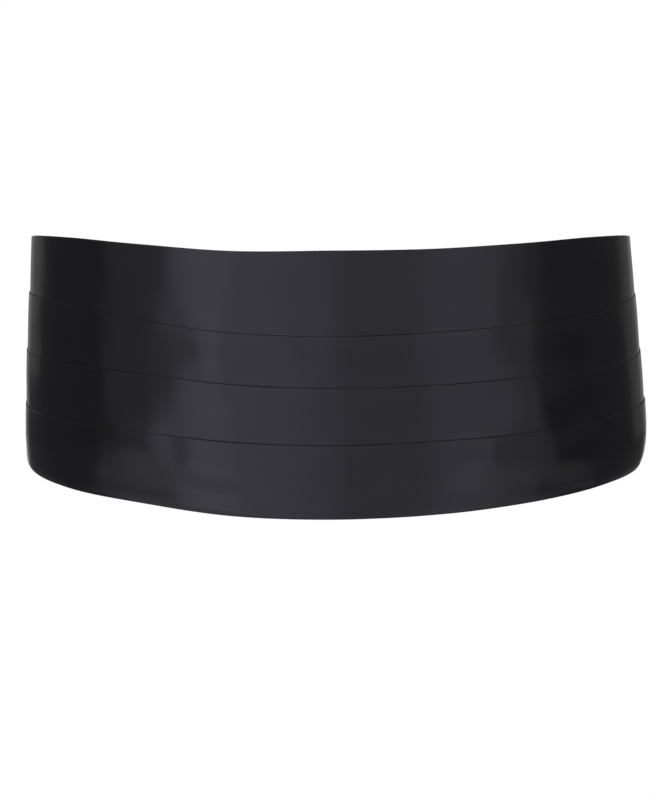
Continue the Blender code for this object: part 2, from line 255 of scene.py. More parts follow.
# Straps and metal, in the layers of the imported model.
WALL = 0.0010
SEAM_GAP = 0.0003
LAYER = WALL + SEAM_GAP
STRAP_START = 0.279           # a strap's sewn end, along the waist
STRAP_WIDTH = 0.025
STRAP_WALL = 0.0009
STRAP_OUT = 0.00316           # where it lies on its binding
STRAP_STEP = 0.0008           # spacing of the points along a strap
STRAP_FLAT_POINTS = 14        # points across each face, and round each edge
STRAP_EDGE_POINTS = 3
CORNER_CUTS = 3               # how often the corners of a route are cut, and by what share
CORNER_CUT = 0.25
BAR = 0.0020                  # width of every metal bar
WINDOW_HEIGHT = 0.0262
PLATE_HEIGHT = 0.0310
CORNER = 0.0022               # radius of the plates' corners
WINDOW_CORNER = CORNER / 4.0
CORNER_POINTS = 7
SLIDE_AT = 0.3375             # the slide's middle bar, along the waist
SLIDE_PITCH = 0.0080          # from one of its bars to the next
EYE_STRAP_BAR = -0.3875       # the eye's bar that holds its strap, along the waist
EYE_PITCH = 0.0085            # from that to its bar for the hook
HOOK_REACH = 0.0063           # from that bar to the hook's plate
HOOK_PLATE = 0.0120           # the plate and its window, along the waist
HOOK_WINDOW = 0.0036
TONGUE_WIDTH = 0.0120
TONGUE_RETURN = 0.0045        # how far the tongue comes back behind the bar it holds
TONGUE_ROOT = 0.0025          # how far inside the plate it starts
TONGUE_STEP = 0.0005          # spacing of the points along the tongue
METAL_ROUNDING = 0.00022      # how far the metal's edges are rounded over
METAL_ROUNDING_STEPS = 3
METAL_EDGE = 38.0             # degrees of turn that make an edge
METAL_MERGE = 0.00001         # points of a stamped plate this near are one

# Where a strap starts and ends a step from one layer to another, measured along the waist.
STEP_OFF_BINDING = (0.0020, 0.0100)    # past the panel's end
STEP_OVER_SLIDE = (0.0060, 0.0033)     # from the slide's middle bar
STEP_AT_HOOK = (0.0090, 0.0020)        # from the bar the strap turns round
STEP_AT_EYE = (0.0090, 0.0020)
TAIL_STEP = (0.0045, 0.0015)           # where the tail rises to the slide's middle bar
TAIL_PAST_BAR = 0.0024                 # how far the tail then reaches past that bar
EYE_STRAP_TAIL = 0.0300                # how far the eye strap's end is turned back from its bar
BAR_TURN_SOFTEN = 0.0004               # how much a turn round a bar is cut off at its corners

# The cloth's and the metal's finishes. A pair holds the two ends of a fine variation.
SATIN_COLOURS = ((0.0108, 0.0108, 0.0124), (0.0132, 0.0130, 0.0153))
SATIN_ROUGHNESS = (0.18, 0.22)
SATIN_RELIEF = 0.00001        # how far what is woven in, or brushed on, stands out
REVERSE_COLOURS = ((0.022, 0.022, 0.024), (0.036, 0.036, 0.039))
REVERSE_ROUGHNESS = (0.44, 0.54)
REVERSE_RELIEF = 0.00003
# the elastic's first colour is painted shade down the grooves between its ribs, its second is on
# their crowns
ELASTIC_COLOURS = ((0.009, 0.009, 0.010), (0.036, 0.036, 0.039))
ELASTIC_ROUGHNESS = (0.46, 0.60)
ELASTIC_RELIEF = 0.00016
ELASTIC_YARN = {"Yarn Length": 0.0022, "Yarn Width": 0.00022}
ELASTIC_YARN_RELIEF = 0.25    # its yarns' share of the ribs' relief
RIB_POWER = 0.6               # below 1, the ribs are fuller than a sine
WEFT_STEP = 0.16              # how much the weft raises and lowers a rib, as a share of its height
THREAD_COLOURS = ((0.012, 0.012, 0.013), (0.030, 0.030, 0.033))
THREAD_ROUGHNESS = (0.34, 0.46)
THREAD_RELIEF = 0.00003
THREAD_YARN = {"Yarn Length": 0.0006, "Yarn Width": 0.0002}
METAL_COLOURS = ((0.100, 0.098, 0.104), (0.34, 0.33, 0.32))
METAL_ROUGHNESS = (0.22, 0.36)
METAL_RELIEF = 0.000006
METAL_BRUSH = 900.0           # brush marks in a metre
METAL_PATCH = 160.0           # patches of wear in a metre
METAL_PATCH_WEAR = (0.25, 1.0)
WORN_EDGE = (0.51, 0.60)      # how sharp an edge is where wear starts, and where it's full

# The studio: tall lights round the object, each filling a stretch of azimuth in degrees from the
# front towards +X, pale boards below it and softboxes above it. Heights and places in metres.
LIGHT_DISTANCE = 2.4
STUDIO_COLUMNS = ("name", "from_azimuth", "to_azimuth", "lowest", "highest", "radiance", "colour")
WHITE = (1.0, 1.0, 1.0)
COOL = (0.98, 0.94, 1.16)
STUDIO = (
    ("left_rim", -178, -150, -0.64, 0.12, 0.31, WHITE),
    ("left_side", -150, -128, -0.40, 0.12, 0.18, WHITE),
    ("left_flank", -128, -86, -0.40, 0.12, 0.03, WHITE),
    ("left_shoulder", -78, -48, -0.80, 1.1, 0.21, COOL),
    ("left_key", -48, -29, -0.80, 1.1, 0.96, COOL),
    ("left_middle", -29, -12, -0.80, 1.1, 0.79, COOL),
    ("middle_left", -12, 0, -0.80, 1.1, 0.66, COOL),
    ("middle_right", 0, 27, -0.80, 1.1, 0.42, COOL),
    ("right_key", 27, 51, -0.80, 1.1, 0.61, COOL),
    ("right_shoulder", 51, 65, -0.80, 1.1, 0.34, COOL),
    ("right_flank", 65, 128, -0.40, 0.12, 0.03, WHITE),
    ("right_side", 128, 150, -0.48, 0.12, 0.13, WHITE),
    ("right_rim", 150, 170, -0.62, 0.12, 0.31, WHITE),
)
BOARD_HEIGHT = -0.55          # the boards lie level there and shine upwards
BOARD_COLOUR = (0.99, 0.96, 1.12)
BOARD_COLUMNS = ("name", "from_x", "to_x", "from_y", "to_y", "radiance")
BOARDS = (
    ("front_left_board", -1.3, 0.0, -1.65, -0.3, 0.50),
    ("far_left_board", -1.7, -1.3, -1.3, -0.1, 0.36),
    ("front_right_board", 0.0, 1.3, -1.65, -0.3, 0.37),
    ("far_right_board", 1.3, 1.9, -1.2, 0.20, 0.23),
    ("back_board", -0.8, 0.8, 1.7, 2.8, 0.60),
    ("near_back_board", -0.6, 0.6, 0.50, 1.3, 0.50),
)
SOFTBOX_COLUMNS = ("name", "width", "height", "place", "radiance")
SOFTBOXES = (
    ("back_softbox", 2.4, 1.2, (0.0, 1.35, 2.1), 4.0),
    ("top_softbox", 1.2, 1.2, (-0.7, 0.1, 2.3), 1.0),
)
RADIANCE_TO_POWER = math.pi   # watts per square metre of a light for one unit of radiance
AMBIENT = 0.135               # even light from all round
FLOOR = -0.95                 # its height
FLOOR_REACH = 20.0
FLOOR_SHADE = 0.35            # how pale it is to what shines
PLAIN_WHITE = 1.02            # how bright the plain ground is to the camera

CAMERA_DISTANCE = 1.8
CAMERA_ELEVATION = 10.0
CAMERA_LENS = 155.5
CAMERA_SENSOR = 36.0
CAMERA_SHIFT = (-0.0068, -0.0692)

# Distance along the waist at mid height, against the angle of the ellipse from centre front, at
# every tenth of a degree for three quarters of a turn each way.
WAIST_ANGLES = np.linspace(-1.5 * math.pi, 1.5 * math.pi, 5401)
WAIST_STEPS = np.hypot(
    np.diff(WAIST_HALF_WIDTH * np.sin(WAIST_ANGLES)),
    np.diff(WAIST_HALF_DEPTH * np.cos(WAIST_ANGLES)),
)
WAIST_LENGTHS = np.concatenate(([0.0], np.cumsum(WAIST_STEPS)))
WAIST_LENGTHS -= WAIST_LENGTHS[len(WAIST_LENGTHS) // 2]
GIRTH = 2.0 * float(np.interp(math.pi, WAIST_ANGLES, WAIST_LENGTHS))


# ---------------------------------------------------------------- the form

def waist_frame(girth, height):
    """Points on the waist, the way along it and the way out of it, for numbers or arrays."""
    girth, height = np.broadcast_arrays(np.asarray(girth, float), np.asarray(height, float))
    angle = np.interp(girth, WAIST_LENGTHS, WAIST_ANGLES)
    widening = -height / FRONT_HEIGHT
    half_width = WAIST_HALF_WIDTH + WAIST_FLARE * widening
    half_depth = WAIST_HALF_DEPTH + WAIST_FLARE * widening
    x = WAIST_LEAN * widening + half_width * np.sin(angle)
    y = -half_depth * np.cos(angle)
    along_x = half_width * np.cos(angle)
    along_y = half_depth * np.sin(angle)
    length = np.hypot(along_x, along_y)
    level = np.zeros_like(height)
    point = np.stack((x, y, height), axis=-1)
    onward = np.stack((along_x / length, along_y / length, level), axis=-1)
    outward = np.stack((along_y / length, -along_x / length, level), axis=-1)
    return point, onward, outward


def on_waist(girth, height, out):
    """Points that lie out from the waist by so much."""
    point, _, outward = waist_frame(girth, height)
    return point + np.asarray(out, float)[..., None] * outward


def panel_line(name, girth):
    """Heights of one of the panel's lines, on a smooth curve through the panel's rows."""
    rows = np.array(PANEL_ROWS) * MM
    stations = rows[:, 0]
    heights = rows[:, PANEL_COLUMNS.index(name)]
    slopes = np.gradient(heights, stations)
    here = np.clip(girth, stations[0], stations[-1])
    row = np.clip(np.searchsorted(stations, here, side="right") - 1, 0, len(stations) - 2)
    span = stations[row + 1] - stations[row]
    t = (here - stations[row]) / span
    rise = heights[row + 1] - heights[row]
    bend = t * t * (3.0 - 2.0 * t)
    return (heights[row] + rise * bend + slopes[row] * span * t * (1.0 - t) ** 2
            - slopes[row + 1] * span * t * t * (1.0 - t))


def ease_in(start, end, value):
    """0 before start, 1 after end, and a smooth rise between."""
    share = np.clip((np.asarray(value, float) - start) / (end - start), 0.0, 1.0)
    return share * share * (3.0 - 2.0 * share)


def rows_of(columns, table):
    """The rows of a table, each with its values by the names of the columns."""
    return [dict(zip(columns, row)) for row in table]


def along_waist(name, columns, table, girth):
    """A column's value at a place along the waist. The first column has such places, in mm."""
    rows = np.array(table)
    return np.interp(girth, rows[:, 0] * MM, rows[:, columns.index(name)])


def curl(girth, share):
    """How far the last band has curled in, by the share of its height below its upper fold."""
    depth = along_waist("turn_in", CURL_COLUMNS, CURL_ROWS, girth) * MM
    return depth * share ** along_waist("power", CURL_COLUMNS, CURL_ROWS, girth)


def half_turn(middle, radius, steps, over):
    """Heights and distances out round a fold, from its inner side to its outer one or back.

    over is True for a fold whose rounded side is up, entered from the wearer's side.
    """
    angles = np.linspace(math.pi, 0.0, steps) if over else np.linspace(0.0, -math.pi, steps)
    angles = angles[:, None]
    side = 1.0 if over else -1.0
    return radius * np.sin(angles), middle + side * radius * np.cos(angles)


def stand_off(girth, height):
    """How far the worn cloth stands off the even form at each point."""
    girth, height = np.broadcast_arrays(girth, height)
    total = np.zeros(girth.shape)
    for ridge in rows_of(RIDGE_COLUMNS, RIDGES):
        lean = math.radians(ridge["lean"])
        aside = girth - ridge["girth"] * MM
        above = height - ridge["height"] * MM
        across = (aside * math.cos(lean) - above * math.sin(lean)) / (ridge["half_width"] * MM)
        along = (aside * math.sin(lean) + above * math.cos(lean)) / (ridge["half_length"] * MM)
        total = total + ridge["rise"] * MM * np.exp(-across * across - along * along)
    wide, high = WAVER_SIZE
    places = zip((girth / wide).flat, (height / high).flat)
    waver = [noise.noise((along, up, WAVER_SEED)) for along, up in places]
    return total + WAVER * np.reshape(waver, total.shape)


# ---------------------------------------------------------------- meshes

def sheet_mesh(name, points, cloth, girdle=0.0):
    """Quads through points[row, column], with each point's place on the flat cloth as its UV.

    Rows run down the outside and columns onward round the waist, so the faces point out. With a
    girdle, which is the distance round, the rows close on themselves and both ends are capped.
    """
    rows, columns = points.shape[:2]
    index = np.arange(rows * columns).reshape(rows, columns)
    caps = []
    if girdle:
        caps = [index[::-1, 0].tolist(), index[:, -1].tolist()]
        index = np.vstack((index, index[:1]))
        cloth = np.concatenate((cloth, cloth[:1] - np.array((0.0, girdle))))
    corners = (np.s_[:-1, :-1], np.s_[1:, :-1], np.s_[1:, 1:], np.s_[:-1, 1:])
    faces = np.stack([index[corner] for corner in corners], axis=-1).reshape(-1, 4)
    mesh = bpy.data.meshes.new(name)
    mesh.from_pydata(points.reshape(-1, 3).tolist(), [], faces.tolist() + caps)
    spread = np.stack([cloth[corner] for corner in corners], axis=2).reshape(-1, 2)
    ends = cloth[:rows, [0, -1]].transpose(1, 0, 2).reshape(-1, 2) if girdle else cloth[:0, 0]
    layer = mesh.uv_layers.new(name="cloth")
    layer.data.foreach_set("uv", np.concatenate((spread, ends)).ravel().astype(np.float32))
    mesh.shade_smooth()
    return mesh


def face_outwards(mesh, merge=0.0):
    """Turns a closed mesh's faces outwards, and first merges points that lie within a distance."""
    shape = bmesh.new()
    shape.from_mesh(mesh)
    if merge:
        bmesh.ops.remove_doubles(shape, verts=shape.verts, dist=merge)
    bmesh.ops.recalc_face_normals(shape, faces=shape.faces)
    shape.to_mesh(mesh)
    shape.free()


def mesh_made_by(thing, *helpers):
    """The mesh that a curve, or an object with modifiers, makes. It and its helpers are removed."""
    for part in (thing, *helpers):
        bpy.context.scene.collection.objects.link(part)
    bpy.context.view_layer.update()
    evaluated = thing.evaluated_get(bpy.context.evaluated_depsgraph_get())
    mesh = bpy.data.meshes.new_from_object(evaluated)
    for part in (thing, *helpers):
        bpy.data.objects.remove(part, do_unlink=True)
    return mesh


def add_piece(name, mesh, materials):
    """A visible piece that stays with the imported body."""
    for material in materials:
        mesh.materials.append(material)
    piece = bpy.data.objects.new(name, mesh)
    bpy.context.scene.collection.objects.link(piece)
    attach(piece, BODY)
    return piece


def add_wall(piece, thickness, reverse=0):
    """Gives a sheet its thickness, half to each side, with another material slot on its back."""
    wall = piece.modifiers.new("wall", "SOLIDIFY")
    wall.thickness = thickness
    wall.offset = 0.0
    wall.material_offset = reverse


def path_lengths(points):
    """Distance along each column of points[row, column], from the first row."""
    steps = np.linalg.norm(np.diff(points, axis=0), axis=-1)
    return np.concatenate((np.zeros((1, points.shape[1])), np.cumsum(steps, axis=0)))


# ---------------------------------------------------------------- the satin front

def front_section(girth):
    """Heights and distances out down the front's whole cut, one column for each girth.

    From the hem behind the top edge, over it and down the first band; then behind each fold, up
    again and over it; and at last round the bottom edge to the hem behind that.
    """
    lines = [panel_line(name, girth) for name in PANEL_LINES]
    heights = []
    outs = []

    def lay(height, out):
        height, out = np.broadcast_arrays(height, out)
        heights.append(np.broadcast_to(height, (height.shape[0], len(girth))))
        outs.append(np.broadcast_to(out, (out.shape[0], len(girth))))

    edge_radius = (EDGE_OUT - HEM_OUT) / 2.0
    edge_middle = (EDGE_OUT + HEM_OUT) / 2.0
    rise, out = half_turn(edge_middle, edge_radius, EDGE_ROWS, over=True)
    hem = np.linspace(-HEM_DEPTH, -edge_radius - HEM_CLEARANCE, INSIDE_ROWS)[:, None]
    lay(lines[0] + hem, HEM_OUT)
    lay(lines[0] - edge_radius + rise, out)

    start_out = np.full(len(girth), EDGE_OUT)
    for number in range(BANDS):
        upper = lines[number]
        lower = lines[number + 1]
        is_last = number == BANDS - 1
        face_end = LAST_FACE_END if is_last else FACE_SPAN[1]
        share = np.linspace(FACE_SPAN[0], face_end, FACE_ROWS)[:, None]
        settled = ease_in(*FACE_SETTLES, share)
        side = ease_in(BELLY_START, BELLY_FULL, np.abs(girth))
        belly = np.clip((share - BELLY_TOP) / (BELLY_FOOT - BELLY_TOP), 0.0, 1.0)
        face = start_out + (UNDER_OUT - start_out) * settled
        face = face + BELLY * side * np.sin(math.pi * belly)
        if is_last:
            face = face + (EDGE_OUT - UNDER_OUT) * ease_in(*FACE_OVER_HEM, share)
            face = face - curl(girth, share)
        lay(upper + share * (lower - upper), face)
        if is_last:
            break
        pressed = along_waist(PANEL_LINES[number + 1], PRESSED_COLUMNS, PRESSED_ROWS, girth)
        return_out = RETURN_OUT - RETURN_PRESSED * pressed
        fold_out = FOLD_OUT - FOLD_PRESSED * pressed
        start_out = fold_out
        tuck = FOLD_DEPTH * (lower - lines[number + 2])
        down = np.linspace(*INSIDE_SPAN, INSIDE_ROWS)[:, None]
        lay(lower - tuck * down, UNDER_OUT)
        turn_radius = (return_out - UNDER_OUT) / 2.0
        turn_middle = (return_out + UNDER_OUT) / 2.0
        drop, out = half_turn(turn_middle, turn_radius, INNER_TURN_ROWS, over=False)
        lay(lower - tuck + drop, out)
        lay(lower - tuck * down[::-1], return_out)
        roll_radius = (fold_out - return_out) / 2.0
        rise, out = half_turn((fold_out + return_out) / 2.0, roll_radius, EDGE_ROWS, over=True)
        lay(lower - roll_radius + rise, out)

    drop, out = half_turn(edge_middle, edge_radius, EDGE_ROWS, over=False)
    lay(lines[-1] + edge_radius + drop, out[::-1] - curl(girth, np.ones((1, 1))))
    hem = np.linspace(edge_radius + HEM_CLEARANCE, HEM_DEPTH, INSIDE_ROWS)[:, None]
    lay(lines[-1] + hem, HEM_OUT - curl(girth, 1.0 - hem / (lines[-2] - lines[-1])))
    return np.vstack(heights), np.vstack(outs)


def add_front(materials):
    """The pleated front: one length of satin, folded all the way down from its upper hem."""
    girth = np.linspace(-PANEL_END, PANEL_END, FRONT_COLUMNS + 1)
    heights, outs = front_section(girth)
    outs = outs + stand_off(girth[None, :], heights)
    points = on_waist(girth[None, :], heights, outs)
    lengths = path_lengths(points)
    cloth = np.stack((np.broadcast_to(girth, lengths.shape), -lengths), axis=-1)
    piece = add_piece("satin_front", sheet_mesh("satin_front", points, cloth), materials)
    add_wall(piece, SATIN, reverse=1)
    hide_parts("pleat_band_1", "pleat_band_2", "pleat_band_3", "pleat_band_4")


# ---------------------------------------------------------------- the bound ends

def binding_section():
    """Distances along the waist and out of it, round a binding from one turned edge to the other.

    It is drawn for the +X side: over the front, round its cut end and back behind it.
    """
    girths = []
    outs = []

    def leg(first, last, out, count):
        girths.extend(np.linspace(first, last, count))
        outs.extend([out] * count)

    def turn(girth, middle, radius, start, end, count):
        for angle in np.linspace(start, end, count):
            girths.append(girth + radius * math.cos(angle))
            outs.append(middle + radius * math.sin(angle))

    quarter = 0.5 * math.pi
    outer = (BINDING_OUT - BINDING_UNDER_OUT) / 2.0
    inner = (BINDING_UNDER_IN - BINDING_IN) / 2.0
    outer_at = BINDING_START + outer
    inner_at = BINDING_START + inner
    corner = BINDING_CORNER
    corner_at = BINDING_END - corner
    turned_edge = BINDING_START + BINDING_TURN
    flat_to = corner_at - BINDING_FLAT_FROM
    leg(turned_edge, outer_at + BINDING_UNDER_FROM, BINDING_UNDER_OUT, BINDING_UNDER_POINTS)
    turn(outer_at, BINDING_OUT - outer, outer, -quarter, -3.0 * quarter, BINDING_TURN_POINTS)
    leg(outer_at + BINDING_FLAT_FROM, flat_to, BINDING_OUT, BINDING_FLAT_POINTS)
    turn(corner_at, BINDING_OUT - corner, corner, quarter, 0.0, BINDING_CORNER_POINTS)
    turn(corner_at, BINDING_IN + corner, corner, 0.0, -quarter, BINDING_CORNER_POINTS)
    leg(flat_to, inner_at + BINDING_FLAT_FROM, BINDING_IN, BINDING_FLAT_POINTS)
    turn(inner_at, BINDING_IN + inner, inner, -quarter, -3.0 * quarter, BINDING_TURN_POINTS)
    leg(inner_at + BINDING_UNDER_FROM, turned_edge, BINDING_UNDER_IN, BINDING_UNDER_POINTS)
    return np.array(girths), np.array(outs)


def over_pleats(girth, height):
    """How much a layer on top of the pleats lifts below each fold, where they're thickest."""
    lift = 0.0
    for name in PANEL_LINES[1:-1]:
        below = panel_line(name, girth) - height
        gone = ease_in(*PLEAT_LIFT_GOES, below)
        lift = lift + PLEAT_LIFT * ease_in(*PLEAT_LIFT_COMES, below) * (1.0 - gone)
    return lift


def add_binding(name, node, side, materials):
    """One piece of satin round the front's cut end on one side: 1 is +X and -1 is -X."""
    girth, out = binding_section()
    girth = side * girth
    if side < 0:
        girth = girth[::-1]
        out = out[::-1]
    top = panel_line("top", girth) + BINDING_PAST_EDGE
    bottom = panel_line("bottom", girth) - BINDING_PAST_EDGE
    share = np.linspace(0.0, 1.0, BINDING_ROWS)[:, None]
    share = 0.5 - 0.5 * np.cos(math.pi * share)
    height = top + share * (bottom - top)
    near_end = np.minimum(top - height, height - bottom)
    opened = ease_in(*BINDING_PINCH, near_end)
    middle = 0.5 * (BINDING_OUT + BINDING_IN)
    lifted = out + np.where(out > middle, over_pleats(girth, height), 0.0)
    lifted = middle + (lifted - middle) * opened
    pucker = PUCKER * np.sin(height / PUCKER_WAVE) * np.where(out > middle, 1.0, -1.0)
    from_seam = (np.abs(girth) - BINDING_START - PUCKER_FROM_EDGE) / PUCKER_REACH
    pucker = pucker * np.exp(-from_seam ** 2) * opened
    points = on_waist(girth[None, :], height, lifted + pucker)
    across = path_lengths(points.transpose(1, 0, 2)).T
    cloth = np.stack((across, np.broadcast_to(height, across.shape)), axis=-1)
    piece = add_piece(name, sheet_mesh(name, points, cloth), materials)
    add_wall(piece, SATIN)
    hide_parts(node)


# ---------------------------------------------------------------- thread

def seam_stitches(start, end, out, stitch, facing=1.0):
    """Stitches along a straight seam between two (girth, height) places, as pairs of ends."""
    length, gap = stitch
    start = np.array(start)
    end = np.array(end)
    distance = float(np.linalg.norm(end - start))
    count = max(1, round(distance / (length + gap)))
    pitch = distance / count
    stitches = []
    for number in range(count):
        first = start + (end - start) * (number * pitch + gap / 2.0) / distance
        last = start + (end - start) * ((number + 1) * pitch - gap / 2.0) / distance
        stitches.append((first, last, out, facing))
    return stitches


def add_stitches(name, stitches, material):
    """Each stitch is a small bowed length of thread that dips into the cloth at both ends."""
    points = []
    faces = []
    rings = len(STITCH_RINGS)
    sides = range(THREAD_SIDES)
    angles = np.linspace(0.0, 2.0 * math.pi, THREAD_SIDES, endpoint=False)
    for first, last, out, facing in stitches:
        base = len(points)
        for along, thickness, rise in STITCH_RINGS:
            girth, height = first + (last - first) * along
            stand = out(girth, height) if callable(out) else out
            centre, onward, outward = waist_frame(girth, height)
            centre = centre + outward * (stand + facing * rise * THREAD)
            travel = (last - first) / np.linalg.norm(last - first)
            across = travel[0] * np.array((0.0, 0.0, 1.0)) - travel[1] * onward
            for angle in angles:
                reach = THREAD * thickness
                points.append(centre + reach * (math.cos(angle) * across
                                                + math.sin(angle) * facing * outward))
        for ring in range(rings - 1):
            low = base + ring * THREAD_SIDES
            high = low + THREAD_SIDES
            for side in sides:
                after = (side + 1) % THREAD_SIDES
                faces.append((low + side, high + side, high + after, low + after))
        last_ring = base + (rings - 1) * THREAD_SIDES
        faces.append([base + side for side in sides])
        faces.append([last_ring + side for side in reversed(sides)])
    mesh = bpy.data.meshes.new(name)
    mesh.from_pydata([tuple(point) for point in points], [], faces)
    face_outwards(mesh)
    mesh.shade_smooth()
    add_piece(name, mesh, (material,))


def box_and_cross(first, last, half_height, out, facing):
    """The seams of a box with a cross in it, which holds a strap's end down."""
    corners = ((first, -half_height), (last, -half_height),
               (last, half_height), (first, half_height))
    seams = []
    for start, end in zip(corners, corners[1:] + corners[:1]):
        seams += seam_stitches(start, end, out, STRAP_STITCH, facing)
    seams += seam_stitches(corners[0], corners[2], out, STRAP_STITCH, facing)
    seams += seam_stitches(corners[1], corners[3], out, STRAP_STITCH, facing)
    return seams


def zigzag(girth, half_height, out, facing):
    """A dense zigzag across a strap."""
    stitches = []
    count = int(2.0 * half_height / ZIGZAG_PITCH)
    for number in range(count):
        height = -half_height + number * ZIGZAG_PITCH
        side = 1.0 if number % 2 else -1.0
        first = np.array((girth - side * ZIGZAG_REACH, height))
        last = np.array((girth + side * ZIGZAG_REACH, height + ZIGZAG_PITCH))
        stitches.append((first, last, out, facing))
    return stitches


def binding_face(girth, height):
    """How far out a binding's outer face lies at a place."""
    return BINDING_OUT + SATIN / 2.0 + float(over_pleats(girth, height))


def sew_binding(name, side, thread):
    """The line of topstitching that closes a binding, seen outside and inside."""
    girth = side * (BINDING_START + EDGE_STITCH_IN)
    low = (girth, float(panel_line("bottom", girth)) + EDGE_STITCH_IN)
    high = (girth, float(panel_line("top", girth)) - EDGE_STITCH_IN)
    stitches = seam_stitches(low, high, binding_face, EDGE_STITCH)
    stitches += seam_stitches(low, high, BINDING_BACK, EDGE_STITCH, -1.0)
    add_stitches(name, stitches, thread)


def sew_strap_end(name, side, thread):
    """The box and cross that hold a strap to its binding, seen outside and inside."""
    start = side * (STRAP_START + BOX_FROM_STRAP_START)
    end = side * (PANEL_END - BOX_FROM_PANEL_END)
    first, last = sorted((start, end))
    half_height = STRAP_WIDTH / 2.0 - BOX_FROM_STRAP_EDGE
    stitches = box_and_cross(first, last, half_height, STRAP_OUT + STRAP_WALL / 2.0, 1.0)
    stitches += box_and_cross(first, last, half_height, BINDING_BACK, -1.0)
    add_stitches(name, stitches, thread)


def sew_eye_strap_tack(name, thread):
    """The zigzag that sews the eye strap's turned-back end to the strap over it."""
    girth = EYE_STRAP_BAR + TACK_FROM_BAR
    half_height = STRAP_WIDTH / 2.0 - ZIGZAG_FROM_STRAP_EDGE
    stitches = zigzag(girth, half_height, layer(1) + STRAP_WALL / 2.0, 1.0)
    stitches += zigzag(girth, half_height, layer(0) - STRAP_WALL / 2.0, -1.0)
    add_stitches(name, stitches, thread)


# ---------------------------------------------------------------- the straps

def layer(number):
    """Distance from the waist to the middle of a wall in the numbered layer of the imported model."""
    return WALL / 2.0 + number * LAYER


def turn_round_bar(bar, number, side):
    """A strap's half turn round a bar in the numbered layer, from the outer side to the inner."""
    reach = BAR / 2.0 + SEAM_GAP + WALL / 2.0
    soften = BAR_TURN_SOFTEN
    corner = reach - 2.0 * soften
    outer = layer(number + 1)
    inner = layer(number - 1)
    return [
        (bar + side * corner, outer),
        (bar + side * (reach - 0.5 * soften), outer - soften),
        (bar + side * reach, outer - 2.0 * soften),
        (bar + side * reach, inner + 2.0 * soften),
        (bar + side * (reach - 0.5 * soften), inner + soften),
        (bar + side * corner, inner),
    ]


def hook_strap_path():
    """From the +X binding, through the slide, round the hook's bar and back to the slide."""
    eye_bar = GIRTH + EYE_STRAP_BAR - EYE_PITCH
    hook_bar = eye_bar - HOOK_REACH - HOOK_PLATE + BAR / 2.0
    foot, top = STEP_OVER_SLIDE
    far, near = STEP_AT_HOOK
    loop = turn_round_bar(SLIDE_AT, 2, -1)
    loop.reverse()
    path = [
        (STRAP_START, STRAP_OUT),
        (PANEL_END + STEP_OFF_BINDING[0], STRAP_OUT),
        (PANEL_END + STEP_OFF_BINDING[1], layer(1)),
        (SLIDE_AT - foot, layer(1)),
        (SLIDE_AT - top, layer(4)),
        (SLIDE_AT + top, layer(4)),
        (SLIDE_AT + foot, layer(1)),
        (hook_bar - far, layer(1)),
        (hook_bar - near, layer(3)),
    ]
    path += turn_round_bar(hook_bar, 2, 1)
    path += [
        (hook_bar - near, layer(1)),
        (hook_bar - far, layer(0)),
        (SLIDE_AT + TAIL_STEP[0], layer(0)),
        (SLIDE_AT + TAIL_STEP[1], layer(1)),
    ]
    path += loop
    path.append((SLIDE_AT + TAIL_PAST_BAR, layer(3)))
    return path


def eye_strap_path():
    """From the -X binding to the eye's bar, round it and back to a short sewn end."""
    far, near = STEP_AT_EYE
    path = [
        (-STRAP_START, STRAP_OUT),
        (-PANEL_END - STEP_OFF_BINDING[0], STRAP_OUT),
        (-PANEL_END - STEP_OFF_BINDING[1], layer(1)),
        (EYE_STRAP_BAR + far, layer(1)),
        (EYE_STRAP_BAR + near, layer(2)),
    ]
    path += turn_round_bar(EYE_STRAP_BAR, 1, -1)
    path.append((EYE_STRAP_BAR + EYE_STRAP_TAIL, layer(0)))
    return path


def smooth_path(path, step):
    """The path with its corners cut several times over, then one point every step."""
    points = np.array(path)
    kept = 1.0 - CORNER_CUT
    for _ in range(CORNER_CUTS):
        before = points[:-1]
        after = points[1:]
        cut = np.stack((kept * before + CORNER_CUT * after, CORNER_CUT * before + kept * after), 1)
        points = np.concatenate((points[:1], cut.reshape(-1, 2), points[-1:]))
    lengths = np.concatenate(([0.0], np.cumsum(np.linalg.norm(np.diff(points, axis=0), axis=1))))
    places = np.linspace(0.0, lengths[-1], max(2, round(lengths[-1] / step)))
    along = np.interp(places, lengths, points[:, 0])
    out = np.interp(places, lengths, points[:, 1])
    return np.stack((along, out), axis=1), places


def ribbon_ring(width, wall, flat_points, edge_points):
    """(height, distance out) round a ribbon's section: down its outer face and up its inner one."""
    radius = wall / 2.0
    half = width / 2.0 - radius
    ring = [(height, radius) for height in np.linspace(half, -half, flat_points)]
    for angle in np.linspace(0.5 * math.pi, -0.5 * math.pi, edge_points + 2)[1:-1]:
        ring.append((-half - radius * math.cos(angle), radius * math.sin(angle)))
    ring += [(height, -radius) for height in np.linspace(-half, half, flat_points)]
    for angle in np.linspace(-0.5 * math.pi, 0.5 * math.pi, edge_points + 2)[1:-1]:
        ring.append((half + radius * math.cos(angle), radius * math.sin(angle)))
    return np.array(ring)


def ribbon_points(path, ring):
    """points[ring, path] of a ribbon standing on edge round the waist."""
    travel = np.gradient(path, axis=0)
    travel /= np.linalg.norm(travel, axis=1, keepdims=True)
    girth = path[None, :, 0] - ring[:, None, 1] * travel[None, :, 1]
    out = path[None, :, 1] + ring[:, None, 1] * travel[None, :, 0]
    height = np.broadcast_to(ring[:, None, 0], girth.shape)
    return on_waist(girth, height, out)


